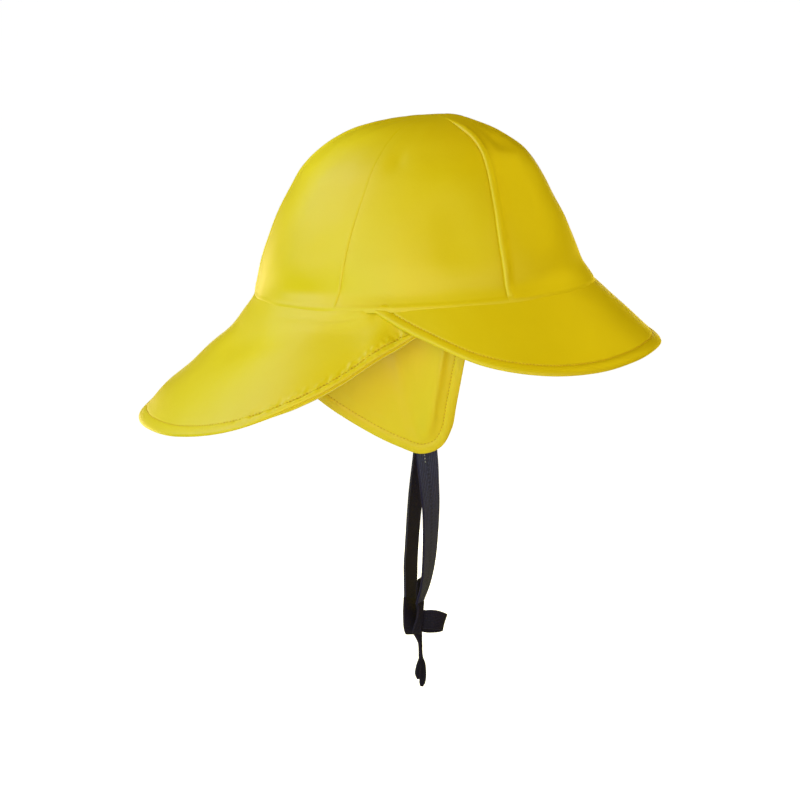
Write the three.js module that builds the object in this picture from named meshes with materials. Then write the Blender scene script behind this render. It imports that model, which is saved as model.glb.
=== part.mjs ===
// Child's rain hat of coated cloth: a six-panel crown, a peak, a long neck flap,
// two ear flaps and an elastic chin strap tied in a half bow.
// Millimetres. +Z up, +X out over the peak, +Y to the wearer's left.
// The origin is the centre of the head opening, at the crown's lower edge.
import * as THREE from "three";

const { clamp, degToRad, lerp, smoothstep } = THREE.MathUtils;

// Driving dimensions
const OPENING_LENGTH = 182;
const OPENING_WIDTH = 158;
const OPENING_TILT = 3;
const CROWN_HEIGHT = 92;
const APEX_FORWARD = 12;
const APEX_ROWS_LEFT = 0.032; // rows short of the apex at which the panels' tips end
const CLOTH = 1.5;
const GAP = 0.35;
const SEAM_DIP = 0.7;
const SEAM_DIP_WIDTH = 5;
const SEAM_DIP_RADIUS = 40; // nearer the apex the dip fades
const LEVEL_FOOT = 0.15;
const BRIM_TUCK = 0.8;
const PEAK_END = 105; // degrees either side of the front
const PEAK_ROLL = 1.6;
const NECK_START = 79; // degrees either side of the front
const NECK_RISE = 12; // degrees behind the peak's end in which the flap comes out to the crown
const NECK_HEM = 0.9;
const HEM_WIDTH = 5.5;
const NEAR_SLOPE_SHARE = 1 / 3; // of the reach, in which a brim turns to its far slope
const FLAP_LEAN = 0.17;
const FLAP_BELLY = 2.5;
const FLAP_BELLY_DROP = 60; // shorter columns of the ear flap bulge less
const FLAP_TOP = -1;
const STRAP_WIDTH = 11.5;
const STRAP_THICKNESS = 1.3;

// Crown, from the lower edge to the apex. height is a share of CROWN_HEIGHT. back, side and
// front are shares of the opening's reach from the apex axis, and the seams are angles round
// that axis, in degrees from the peak.
const CROWN_ROWS = [
  { height: 0.0, back: 1.0, side: 1.0, front: 1.0, frontSeam: 60, backSeam: 121 },
  { height: 0.06, back: 0.99, side: 0.982, front: 0.965, frontSeam: 60, backSeam: 120.5 },
  { height: 0.14, back: 0.972, side: 0.957, front: 0.924, frontSeam: 60, backSeam: 120 },
  { height: 0.26, back: 0.936, side: 0.918, front: 0.873, frontSeam: 59.5, backSeam: 119.5 },
  { height: 0.38, back: 0.893, side: 0.873, front: 0.822, frontSeam: 59, backSeam: 119 },
  { height: 0.5, back: 0.842, side: 0.822, front: 0.758, frontSeam: 58.5, backSeam: 118 },
  { height: 0.62, back: 0.778, side: 0.762, front: 0.692, frontSeam: 58, backSeam: 117 },
  { height: 0.72, back: 0.722, side: 0.7, front: 0.628, frontSeam: 57, backSeam: 116.5 },
  { height: 0.81, back: 0.64, side: 0.618, front: 0.545, frontSeam: 55.5, backSeam: 116.2 },
  { height: 0.89, back: 0.535, side: 0.51, front: 0.42, frontSeam: 54.5, backSeam: 116.5 },
  { height: 0.95, back: 0.41, side: 0.375, front: 0.285, frontSeam: 56, backSeam: 118 },
  { height: 0.985, back: 0.245, side: 0.22, front: 0.16, frontSeam: 58, backSeam: 120 },
  { height: 1.0, back: 0.0, side: 0.0, front: 0.0, frontSeam: 60, backSeam: 120 },
];

// Brims, one row each 15 degrees round the opening. reach is measured along the cloth, in mm,
// and the slopes are degrees below the opening's plane, beside the crown and further out.
const BRIM_STEP = 15;
const PEAK_ROWS = [
  { reach: 52, nearSlope: 42, farSlope: 48 },
  { reach: 53, nearSlope: 42, farSlope: 48 },
  { reach: 54, nearSlope: 43, farSlope: 49 },
  { reach: 52.5, nearSlope: 43, farSlope: 48 },
  { reach: 48.5, nearSlope: 43, farSlope: 47 },
  { reach: 38.5, nearSlope: 44, farSlope: 47 },
  { reach: 21, nearSlope: 47, farSlope: 47 },
  { reach: 3.5, nearSlope: 52, farSlope: 52 },
];
const NECK_FIRST = 75;
const NECK_ROWS = [
  { reach: 3.5, nearSlope: 58, farSlope: 58 },
  { reach: 13, nearSlope: 56, farSlope: 54 },
  { reach: 30, nearSlope: 53, farSlope: 50 },
  { reach: 57, nearSlope: 50, farSlope: 44 },
  { reach: 80.5, nearSlope: 50, farSlope: 42 },
  { reach: 89, nearSlope: 50, farSlope: 42 },
  { reach: 91.5, nearSlope: 50, farSlope: 42 },
  { reach: 92, nearSlope: 50, farSlope: 42 },
];

// Soft folds of the neck flap, alike on both sides. angle is round the opening, share is the
// part of the reach from the crown, and depth is how far the cloth sinks, or rises if negative.
const NECK_FOLDS = [
  { angle: 158, share: 0.35, halfAngle: 12, halfShare: 0.16, depth: 2.2 },
  { angle: 118, share: 0.3, halfAngle: 9, halfShare: 0.22, depth: 1.6 },
  { angle: 135, share: 0.55, halfAngle: 14, halfShare: 0.3, depth: -1.6 },
  { angle: 103, share: 0.7, halfAngle: 3.5, halfShare: 0.3, depth: 1.3 },
];

// Ear flap, from its back to its front edge. angle places the top on the opening, and x and z
// are its lower edge.
const FLAP_ROWS = [
  { angle: 150, x: -80, z: -16 },
  { angle: 141, x: -76, z: -29 },
  { angle: 132, x: -69, z: -40 },
  { angle: 122, x: -58.5, z: -50 },
  { angle: 112, x: -45, z: -60 },
  { angle: 103, x: -31, z: -68.5 },
  { angle: 95, x: -18, z: -75.5 },
  { angle: 87, x: -6, z: -80.5 },
  { angle: 80.5, x: 5, z: -78 },
  { angle: 75.5, x: 11.5, z: -69 },
];

// Strap runs, from end to end. turn is the angle of the webbing's width from +X, seen from
// above, and width is a share of STRAP_WIDTH.
const RIGHT_STRAND = [
  { x: -0.5, y: -61, z: -67, turn: 0, width: 1 },
  { x: 0.4, y: -59.1, z: -74, turn: 0, width: 1 },
  { x: 1.2, y: -56.3, z: -82, turn: 0, width: 1 },
  { x: 3, y: -49.5, z: -99.5, turn: 15, width: 1 },
  { x: 4, y: -39.5, z: -117, turn: 35, width: 1 },
  { x: 3.5, y: -24, z: -143, turn: 50, width: 1 },
  { x: 1.5, y: -11, z: -161.5, turn: 60, width: 0.85 },
  { x: -2, y: -4.2, z: -174, turn: 60, width: 0.5 },
];
const LEFT_STRAND = [
  { x: -0.5, y: 61, z: -67, turn: 0, width: 1 },
  { x: 0.2, y: 59.1, z: -74, turn: 0, width: 1 },
  { x: 0.8, y: 56.3, z: -82, turn: 0, width: 1 },
  { x: 0.4, y: 49, z: -99.5, turn: 25, width: 1 },
  { x: -3.6, y: 35, z: -124.5, turn: 50, width: 1 },
  { x: -6.1, y: 19, z: -151, turn: 55, width: 1 },
  { x: -6.7, y: 9, z: -164.5, turn: 55, width: 0.85 },
  { x: -6.8, y: 3.8, z: -174, turn: 55, width: 0.5 },
];
const KNOT_CENTRE = { x: -4.9, y: 0, z: -184.8 };
const KNOT_PROFILE = [
  { radius: 3.4, z: 10.3 },
  { radius: 5, z: 8.5 },
  { radius: 4.5, z: 4.5 },
  { radius: 5.3, z: 0.5 },
  { radius: 5.2, z: -4.5 },
  { radius: 4.6, z: -8 },
  { radius: 2.6, z: -10.2 },
];
const BOW_LOOP = { x: 1.5, length: 11, depth: 4.4, height: 11.5, z: -186, roundness: 0.6 };
const TAIL = [
  { x: -3.5, y: 0, z: -195.4, turn: 80, width: 0.45 },
  { x: -1.8, y: 0, z: -202, turn: 70, width: 0.45 },
  { x: -1.6, y: 0, z: -209, turn: 55, width: 0.5 },
  { x: -1.6, y: 0, z: -216, turn: 25, width: 0.55 },
  { x: -0.8, y: 0, z: -222.5, turn: 25, width: 0.45 },
];

// Mesh fineness
const PANEL_GRID = { columns: 10, rows: 12 };
const PEAK_GRID = { columns: 28, rows: 9 };
const NECK_GRID = { columns: 42, rows: 11 };
const FLAP_GRID = { columns: 12, rows: 8 };
const STRAND_STEPS = 18;
const TAIL_STEPS = 9;
const LOOP_STEPS = 20;
const KNOT_SIDES = 12;
const HEM_ROWS_SHARE = 0.3;

const YELLOW = new THREE.MeshStandardMaterial({ color: 0xe3cf20, roughness: 0.42, metalness: 0 });
const BLACK = new THREE.MeshStandardMaterial({ color: 0x2b2a30, roughness: 0.8, metalness: 0 });

// Smooth values between the rows of a table, at a place counted in rows from the first one.
function rowAt(rows, place) {
  const last = rows.length - 1;
  const first = clamp(Math.floor(place), 0, last - 1);
  const part = place - first;
  const values = {};
  for (const column of Object.keys(rows[0])) {
    const p1 = rows[first][column];
    const p2 = rows[first + 1][column];
    const p0 = first > 0 ? rows[first - 1][column] : 2 * p1 - p2;
    const p3 = first + 1 < last ? rows[first + 2][column] : 2 * p2 - p1;
    const linear = p2 - p0;
    const square = 2 * p0 - 5 * p1 + 4 * p2 - p3;
    const cube = 3 * (p1 - p2) + p3 - p0;
    values[column] = 0.5 * (2 * p1 + part * (linear + part * (square + part * cube)));
  }
  return values;
}

function openingPoint(angle) {
  return new THREE.Vector3(
    (OPENING_LENGTH / 2) * Math.cos(angle),
    (OPENING_WIDTH / 2) * Math.sin(angle),
    0,
  );
}

function openingNormal(angle) {
  const x = Math.cos(angle) / OPENING_LENGTH;
  const y = Math.sin(angle) / OPENING_WIDTH;
  return new THREE.Vector3(x, y, 0).normalize();
}

function crownPoint(angle, row) {
  const forward = Math.cos(angle);
  const end = forward > 0 ? row.front : row.back;
  const reach = lerp(row.side, end, forward * forward);
  const axis = new THREE.Vector3(APEX_FORWARD, 0, 0);
  const point = openingPoint(angle).sub(axis).multiplyScalar(reach).add(axis);
  point.z = row.height * CROWN_HEIGHT;
  return point;
}

// A closed body on a grid: face(u, v) is its outer face, with u counterclockwise seen from
// above and v upwards, and it lies between the given heights over and under that face. Below
// the share levelFoot of its height, its thickness turns level, so that its foot is flat.
function wall({ face, over = () => 0, under = () => CLOTH, levelFoot = 0, columns, rows }) {
  const step = 1e-4;
  const positions = [];
  const normalAt = (u, v) => {
    const u0 = Math.max(u - step, 0);
    const u1 = Math.min(u + step, 1);
    const v0 = Math.max(v - step, 0);
    const v1 = Math.min(v + step, 1);
    const across = face(u1, v).sub(face(u0, v));
    const up = face(u, v1).sub(face(u, v0));
    const normal = across.cross(up).normalize();
    normal.z *= levelFoot > 0 ? Math.min(1, v / levelFoot) : 1;
    return normal.normalize();
  };
  for (const side of [1, -1]) {
    for (let row = 0; row <= rows; row += 1) {
      for (let column = 0; column <= columns; column += 1) {
        const u = column / columns;
        const v = row / rows;
        const height = side > 0 ? over(u, v) : -under(u, v);
        const point = face(u, v).addScaledVector(normalAt(u, v), height);
        positions.push(point.x, point.y, point.z);
      }
    }
  }
  const inner = (columns + 1) * (rows + 1);
  const at = (column, row) => row * (columns + 1) + column;
  const index = [];
  const quad = (a, b, c, d) => index.push(a, b, c, a, c, d);
  for (let row = 0; row < rows; row += 1) {
    for (let column = 0; column < columns; column += 1) {
      const a = at(column, row);
      const b = at(column + 1, row);
      const c = at(column + 1, row + 1);
      const d = at(column, row + 1);
      quad(a, b, c, d);
      quad(inner + d, inner + c, inner + b, inner + a);
    }
  }
  for (let column = 0; column < columns; column += 1) {
    const low = [at(column, 0), at(column + 1, 0)];
    const high = [at(column, rows), at(column + 1, rows)];
    quad(low[1], low[0], inner + low[0], inner + low[1]);
    quad(high[0], high[1], inner + high[1], inner + high[0]);
  }
  for (let row = 0; row < rows; row += 1) {
    const left = [at(0, row), at(0, row + 1)];
    const right = [at(columns, row), at(columns, row + 1)];
    quad(left[0], left[1], inner + left[1], inner + left[0]);
    quad(right[1], right[0], inner + right[0], inner + right[1]);
  }
  return body(positions, index);
}

function body(positions, index) {
  const geometry = new THREE.BufferGeometry();
  geometry.setAttribute("position", new THREE.Float32BufferAttribute(positions, 3));
  geometry.setIndex(index);
  geometry.computeVertexNormals();
  return geometry;
}

// The same body on the other side of the hat.
function mirrored(geometry) {
  const positions = Array.from(geometry.attributes.position.array);
  for (let i = 1; i < positions.length; i += 3) {
    positions[i] = -positions[i];
  }
  const index = Array.from(geometry.index.array).reverse();
  return body(positions, index);
}

// A panel of the crown on the wearer's left, between two of its seams.
function crownPanel(firstSeam, secondSeam) {
  const last = CROWN_ROWS.length - 1;
  const tip = last - APEX_ROWS_LEFT;
  const face = (u, v) => {
    const row = rowAt(CROWN_ROWS, v * tip);
    const angles = { centre: 0, front: row.frontSeam, back: row.backSeam, rear: 180 };
    const start = degToRad(angles[firstSeam]);
    const end = degToRad(angles[secondSeam]);
    const middle = crownPoint((start + end) / 2, row);
    const radius = Math.hypot(middle.x - APEX_FORWARD, middle.y);
    const trim = GAP / 2 / radius;
    const angle = lerp(start + trim, end - trim, u);
    const fromSeam = Math.min(u, 1 - u) * (end - start) * radius;
    const dip = SEAM_DIP * Math.exp(-((fromSeam / SEAM_DIP_WIDTH) ** 2));
    const inward = openingNormal(angle).multiplyScalar(dip * Math.min(1, radius / SEAM_DIP_RADIUS));
    return crownPoint(angle, row).sub(inward);
  };
  return wall({ face, levelFoot: LEVEL_FOOT, ...PANEL_GRID });
}

// How far the brims lie under one another beside the ear: the neck flap runs inside the peak.
function neckInset(degrees) {
  return (CLOTH + GAP) * (1 - smoothstep(degrees, PEAK_END, PEAK_END + NECK_RISE));
}

function foldDepth(folds, degrees, share) {
  let depth = 0;
  for (const fold of folds) {
    const across = (degrees - fold.angle) / fold.halfAngle;
    const along = (share - fold.share) / fold.halfShare;
    depth += fold.depth * Math.exp(-across * across - along * along);
  }
  return depth;
}

// A point of a brim's outer face at a distance from the crown along the cloth.
function brimPoint(degrees, row, distance, inset) {
  const angle = degToRad(degrees);
  const outward = openingNormal(angle);
  const steps = 8;
  const point = openingPoint(angle).addScaledVector(outward, -BRIM_TUCK);
  point.z -= GAP;
  let slope = row.nearSlope;
  for (let i = 0; i < steps; i += 1) {
    const along = ((i + 0.5) / steps) * distance;
    slope = lerp(row.nearSlope, row.farSlope, Math.min(1, along / row.reach / NEAR_SLOPE_SHARE));
    point.addScaledVector(outward, (Math.cos(degToRad(slope)) * distance) / steps);
    point.z -= (Math.sin(degToRad(slope)) * distance) / steps;
  }
  point.addScaledVector(outward, -inset * Math.sin(degToRad(slope)));
  point.z -= inset * Math.cos(degToRad(slope));
  return point;
}

// The share of a brim's reach for a grid row: the lowest rows share the hem between them.
function brimShare(v, reach) {
  const hem = Math.min(HEM_WIDTH / reach, HEM_ROWS_SHARE);
  if (v < HEM_ROWS_SHARE) {
    return 1 - (v / HEM_ROWS_SHARE) * hem;
  }
  return (1 - hem) * (1 - (v - HEM_ROWS_SHARE) / (1 - HEM_ROWS_SHARE));
}

function hemBulge(v) {
  return v < HEM_ROWS_SHARE ? Math.sin((Math.PI * v) / HEM_ROWS_SHARE) : 0;
}

function peak() {
  const face = (u, v) => {
    const degrees = lerp(-PEAK_END, PEAK_END, u);
    const row = rowAt(PEAK_ROWS, Math.abs(degrees) / BRIM_STEP);
    return brimPoint(degrees, row, brimShare(v, row.reach) * row.reach, 0);
  };
  const over = (u, v) => PEAK_ROLL * hemBulge(v);
  return wall({ face, over, ...PEAK_GRID });
}

function neckFlap() {
  const face = (u, v) => {
    const degrees = lerp(NECK_START, 360 - NECK_START, u);
    const fromPeak = Math.min(degrees, 360 - degrees);
    const row = rowAt(NECK_ROWS, (fromPeak - NECK_FIRST) / BRIM_STEP);
    const share = brimShare(v, row.reach);
    const inset = neckInset(fromPeak) + foldDepth(NECK_FOLDS, fromPeak, share);
    return brimPoint(degrees, row, share * row.reach, inset);
  };
  const over = (u, v) => NECK_HEM * hemBulge(v);
  return wall({ face, over, ...NECK_GRID });
}

// The ear flap on the wearer's left hangs from the opening, inside both brims.
function earFlap() {
  const last = FLAP_ROWS.length - 1;
  const face = (u, v) => {
    const row = rowAt(FLAP_ROWS, (1 - u) * last);
    const angle = degToRad(row.angle);
    const outward = openingNormal(angle);
    const inset = BRIM_TUCK + neckInset(row.angle) + CLOTH + GAP;
    const top = openingPoint(angle).addScaledVector(outward, -inset);
    top.z = FLAP_TOP;
    const low = new THREE.Vector3(row.x, top.y + FLAP_LEAN * row.z, row.z);
    const belly = FLAP_BELLY * Math.sin(Math.PI * v) * Math.min(1, -row.z / FLAP_BELLY_DROP);
    return low.lerp(top, v).add(new THREE.Vector3(0, belly, 0));
  };
  return wall({ face, ...FLAP_GRID });
}

// Flat webbing along a run of the strap, with its width turned as the rows say.
function webbing(rows, steps) {
  const last = rows.length - 1;
  const centre = (place) => {
    const row = rowAt(rows, place);
    return new THREE.Vector3(row.x, row.y, row.z);
  };
  const positions = [];
  for (let i = 0; i <= steps; i += 1) {
    const place = (i / steps) * last;
    const row = rowAt(rows, place);
    const ahead = centre(Math.min(place + 0.01, last));
    const along = ahead.sub(centre(Math.max(place - 0.01, 0))).normalize();
    const turn = degToRad(row.turn);
    const wide = new THREE.Vector3(Math.cos(turn), Math.sin(turn), 0);
    wide.addScaledVector(along, -wide.dot(along)).normalize();
    const thick = new THREE.Vector3().crossVectors(along, wide);
    for (const [side, face] of [[1, 1], [-1, 1], [-1, -1], [1, -1]]) {
      const corner = centre(place)
        .addScaledVector(wide, (side * row.width * STRAP_WIDTH) / 2)
        .addScaledVector(thick, (face * STRAP_THICKNESS) / 2);
      positions.push(corner.x, corner.y, corner.z);
    }
  }
  const index = [];
  const quad = (a, b, c, d) => index.push(a, b, c, a, c, d);
  for (let i = 0; i < steps; i += 1) {
    for (let side = 0; side < 4; side += 1) {
      const next = (side + 1) % 4;
      quad(4 * i + side, 4 * i + next, 4 * i + 4 + next, 4 * i + 4 + side);
    }
  }
  const end = 4 * steps;
  quad(3, 2, 1, 0);
  quad(end, end + 1, end + 2, end + 3);
  return body(positions, index);
}

function knot() {
  const profile = [
    new THREE.Vector2(0, KNOT_PROFILE.at(-1).z),
    ...KNOT_PROFILE.toReversed().map((row) => new THREE.Vector2(row.radius, row.z)),
    new THREE.Vector2(0, KNOT_PROFILE[0].z),
  ];
  return new THREE.LatheGeometry(profile, KNOT_SIDES).rotateX(Math.PI / 2);
}

// The bow's loop: webbing that leaves the knot, folds over at its far end and comes back.
function bowLoop() {
  const outline = (offset) => {
    const points = [];
    for (let i = 0; i <= LOOP_STEPS; i += 1) {
      const turn = (i / LOOP_STEPS) * Math.PI * 2 - Math.PI;
      const belly = Math.sin(turn) * Math.cos(turn / 2) ** BOW_LOOP.roundness;
      const x = (BOW_LOOP.length / 2) * (1 + Math.cos(turn)) + offset * Math.cos(turn);
      const y = (BOW_LOOP.depth / 2) * belly + offset * Math.sin(turn);
      points.push(new THREE.Vector2(x, y));
    }
    points.pop();
    return points;
  };
  const shape = new THREE.Shape(outline(STRAP_THICKNESS / 2));
  shape.holes.push(new THREE.Path(outline(-STRAP_THICKNESS / 2).reverse()));
  return new THREE.ExtrudeGeometry(shape, { depth: BOW_LOOP.height, bevelEnabled: false, steps: 1 });
}

function piece(name, geometry, material) {
  const mesh = new THREE.Mesh(geometry, material);
  mesh.name = name;
  return mesh;
}

const hat = new THREE.Group();
const cloth = new THREE.Group();
cloth.rotation.y = -degToRad(OPENING_TILT);

const PANELS = [
  ["crown_panel_front", "centre", "front"],
  ["crown_panel_side", "front", "back"],
  ["crown_panel_back", "back", "rear"],
];
for (const [name, firstSeam, secondSeam] of PANELS) {
  const panel = crownPanel(firstSeam, secondSeam);
  cloth.add(piece(`${name}_left`, panel, YELLOW));
  cloth.add(piece(`${name}_right`, mirrored(panel), YELLOW));
}
cloth.add(piece("peak", peak(), YELLOW));
cloth.add(piece("neck_flap", neckFlap(), YELLOW));
cloth.add(piece("ear_flap_left", earFlap(), YELLOW));
cloth.add(piece("ear_flap_right", mirrored(earFlap()), YELLOW));
hat.add(cloth);

const strap = new THREE.Group();
strap.add(piece("chin_strap_right", webbing(RIGHT_STRAND, STRAND_STEPS), BLACK));
strap.add(piece("chin_strap_left", webbing(LEFT_STRAND, STRAND_STEPS), BLACK));
const tied = piece("strap_knot", knot(), BLACK);
tied.position.copy(KNOT_CENTRE);
strap.add(tied);
const loop = piece("strap_bow_loop", bowLoop(), BLACK);
loop.position.set(BOW_LOOP.x, 0, BOW_LOOP.z - BOW_LOOP.height / 2);
strap.add(loop);
strap.add(piece("strap_tail", webbing(TAIL, TAIL_STEPS), BLACK));
hat.add(strap);

export default hat;
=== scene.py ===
"""A child's sou'wester rain hat of coated cloth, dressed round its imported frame.

Metres, +Z up, +X over the peak, +Y to the wearer's left. Named sizes are in mm and degrees where no other
unit is given.
"""

import math

import bpy
import numpy as np
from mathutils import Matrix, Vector


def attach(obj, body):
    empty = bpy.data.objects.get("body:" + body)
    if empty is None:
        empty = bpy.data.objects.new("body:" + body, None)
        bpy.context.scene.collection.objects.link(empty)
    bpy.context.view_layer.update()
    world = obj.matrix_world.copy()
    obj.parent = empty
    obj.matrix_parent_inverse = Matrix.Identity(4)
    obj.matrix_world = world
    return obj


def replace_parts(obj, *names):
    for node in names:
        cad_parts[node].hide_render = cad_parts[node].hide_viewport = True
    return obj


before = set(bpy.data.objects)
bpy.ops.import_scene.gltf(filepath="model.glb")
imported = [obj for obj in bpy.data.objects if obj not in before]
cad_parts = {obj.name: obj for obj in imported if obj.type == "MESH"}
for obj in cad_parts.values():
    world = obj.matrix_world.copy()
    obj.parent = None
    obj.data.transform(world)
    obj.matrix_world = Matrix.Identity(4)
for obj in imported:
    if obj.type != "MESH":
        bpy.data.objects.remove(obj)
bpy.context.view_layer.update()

MM = 0.001

# Driving dimensions, as on the frame's solids
OPENING_LENGTH = 182
OPENING_WIDTH = 158
OPENING_TILT = 3
CROWN_HEIGHT = 92
APEX_FORWARD = 12
CLOTH = 1.5
GAP = 0.35
BRIM_TUCK = 0.8
PEAK_END = 107.5
NECK_START = 79
NEAR_SLOPE_SHARE = 1 / 3
FLAP_LEAN = 0.17
FLAP_BELLY = 2.5
FLAP_BELLY_DROP = 60
FLAP_TOP = -1
STRAP_WIDTH = 11.5
STRAP_THICKNESS = 1.3
KNOT_CENTRE = (-4.9, 0, -184.8)

# The neck flap comes up behind the peak's end, over fewer degrees near the crown than further out
NECK_RISE = 4
NECK_RISE_OUT = 28
NECK_RISE_CLEAR = 4
NECK_RISE_REACH = 12
NECK_ROOT_SHARE = 0.5
# Beside that end it lifts a little round the crown's foot
ROOT_LIFT = 0.6
ROOT_REACH = 2.6
ROOT_BEFORE = 1.5
ROOT_RISE = 3
ROOT_END = 116
ROOT_FALL = 10
# The brims sweep up into the crown's foot
FILLET_RISE = 0.7
FILLET_REACH = 2.4
FILLET_START = 25
FILLET_GROWTH = 45
# The peak's ends sink under the crown, and its roll is flatter at the front
END_SINK = 1.2
END_SPAN = 4
END_DEPTH = 2
END_FADE = 2.5
FRONT_ROLL_EASE = 0.55
FRONT_ROLL_REACH = 24
# Rims: how close they come to the crown, the reach under which they narrow, and where the back starts
HEM_ROOT = 0.6
ROOT_SQUEEZE = 0.1
RIM_NARROWING = 24
PEAK_NARROWING = 7
LEAST_RIM = 0.2
UNDER_FACE = 0.85
# Folds of a brim and of an ear flap fade out towards the rim and towards the crown
BODY_START = 5
FLAP_BODY_START = 6
BODY_FADE = 8
CROWN_FADE = 6
# Grids: columns, rows of the body, and steps between two rows of a table
PEAK_COLUMNS = 300
NECK_COLUMNS = 500
FLAP_COLUMNS = 240
BODY_ROWS = 40
NECK_BODY_ROWS = 48
BRIM_STEPS = 8
HEM_STEPS = 4
PROFILE_STEPS = 6
OUTLINE_STEPS = 8
SLOPE_STEP = 0.05
# Unevenness of the cloth: how far it rises and sinks, its size and its seed, another on mirrored panels
PEAK_UNEVEN = (0.18, 30, 11)
NECK_UNEVEN = (0.25, 38, 5)
FLAP_UNEVEN = (0.25, 30, 31)
CROWN_UNEVEN = (0.22, 34, 3)
CROWN_STRETCH = 1.3
MIRRORED_SEED = 40
# The waves that it is summed from
WAVES = 5
WAVE_TURN = 1.3
WAVE_RATE = 0.7
WAVE_RATE_STEP = 0.17
WAVE_CROSS = 0.37
WAVE_SUM = 3
# The neck flap is gathered along its hem's stitches, between two angles
PUCKER = (0.68, 5, 21)
PUCKER_TURN = 2.2
PUCKER_IN = 0.6
PUCKER_LINE = 6.4
PUCKER_HALF = 3.4
GATHER_START = 90
GATHER_GROWTH = 6
GATHER_END = 126
GATHER_FALL = 22
# Its facing rolls out over these degrees, where it runs in under the peak
FACING_START = 134
FACING_GROWTH = 12

# Stitches: rows start this far from the ends and lie this far in from the rim and below the cloth's face
PEAK_SEWN = {"end": 7, "inwards": 6.5, "height": -0.26, "points": 400}
NECK_SEWN = {"end": 9, "inwards": 6.7, "height": -0.12, "points": 500}
FLAP_SEWN = {"end": 4, "inwards": 5.5, "height": -0.14, "points": 300}
FACING_SEWN_OUT = 1.1
STITCH = {"length": 1.1, "pitch": 1.9, "radius": 0.26, "rise": 0.05, "ahead": 0.5}
STITCH_SIDES = 6
# Rings of a stitch: share of its length, share of its radius, and how far it dips into the cloth
STITCH_RINGS = (
    (-0.5, 0.35, -0.5), (-0.38, 0.85, -0.1), (-0.15, 1, 0),
    (0.15, 1, 0), (0.38, 0.85, -0.1), (0.5, 0.35, -0.5),
)
TACK_TOP = -80
TACK_END = -88
TACK_OFFSET = -1.2

# Webbing: points of a run, sides of its rounded edge, and places across its flat faces
STRAND_POINTS = 150
EDGE_SIDES = 5
FLAT_PLACES = np.linspace(0.42, -0.42, 7)
KNOT_THICKNESS = 1.5
TURN_THICKNESS = 1.0
STEM_THICKNESS = 1.9
LOBE_THICKNESS = 1.7

# Colours
YELLOW_DEEP = (0.76, 0.6, 0.002)
YELLOW_BRIGHT = (0.8, 0.645, 0.004)
BACK_DEEP = (0.72, 0.56, 0.05)
BACK_BRIGHT = (0.78, 0.62, 0.08)
THREAD_DEEP = (0.56, 0.36, 0.001)
THREAD_BRIGHT = (0.74, 0.5, 0.002)
GREY_DEEP = (0.22, 0.22, 0.21)
GREY_BRIGHT = (0.4, 0.39, 0.36)
BLACK_DEEP = (0.009, 0.009, 0.016)
BLACK_BRIGHT = (0.062, 0.064, 0.13)
# The webbing's plain back face, painted much darker than its front: painted shade for the far strand
INNER_SHADE_DEEP = (0.003, 0.003, 0.008)
INNER_SHADE_BRIGHT = (0.016, 0.013, 0.055)
# The knot, bow loop and tail: the same webbing, painted darker as painted shade
KNOT_SHADE_DEEP = (0.004, 0.003, 0.006)
KNOT_SHADE_BRIGHT = (0.019, 0.014, 0.034)
TONE_STOPS = (0.3, 0.7)
WEAVE_STOPS = (0.1, 0.9)

# Patterns: scale per metre, and detail of a noise
CLOTH_TONE = (14, 3)
CLOTH_GLOSS = (60, 4)
GRAIN = (1400, 2)
PEBBLE = (260, 2)
BACK_TONE = (20, 3)
TWIST = (2500, 1)
FUZZ = (900, 3)
BACK_CELLS = 900
RIB_SCALE = 300
PICK_SCALE = 420
# How much of the fuzz goes into the webbing's tone
FUZZ_SHARE = 0.5
# Bump: strength, and depth in metres
GRAIN_BUMP = (0.12, 0.0002)
PEBBLE_BUMP = (0.1, 0.0006)
BACK_BUMP = (0.3, 0.0003)
RIB_BUMP = (0.7, 0.00025)
PICK_BUMP = (0.45, 0.00015)
FUZZ_BUMP = (0.3, 0.0002)
CLOTH_ROUGHNESS = (0.36, 0.5)
CLOTH_SPECULAR = 0.5
THREAD_ROUGHNESS = 0.5
MATT_ROUGHNESS = 0.75
OUTER_SPECULAR = 0.25
INNER_SPECULAR = 0.17
# Rings up the webbing's middle, in metres: a ring's middle line and half width are shares of the radius
DOT_RADIUS = 0.00075
DOT_PITCH = 0.0027
DOT_RING = 0.75
DOT_HALF_LINE = 0.3
DOT_STRENGTH = 0.55

# Camera and studio: metres, degrees, and watts for the lights
VIEW_AZIMUTH = -0.3
VIEW_ELEVATION = 10.1
VIEW_DISTANCE = 2.2
VIEW_AIM = (-0.0126, 0, -0.0636)
VIEW_END = 60
MM_PER_PIXEL = 0.54
FRAME_PIXELS = 800
SENSOR = 36
FLOOR_Z = -0.32
FLOOR_HALF = 30
FLOOR_GREY = 0.9
WHITE = (1, 1, 1, 1)
FLOOR_ROUGHNESS = 0.9
FLOOR_GLOW = 0
AMBIENT = 0.005
AMBIENT_COLOUR = (1, 0.88, 0.2)
LIGHT_AIM = (-0.0126, 0, -0.03)
LIGHT_SIZE = 0.6
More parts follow.
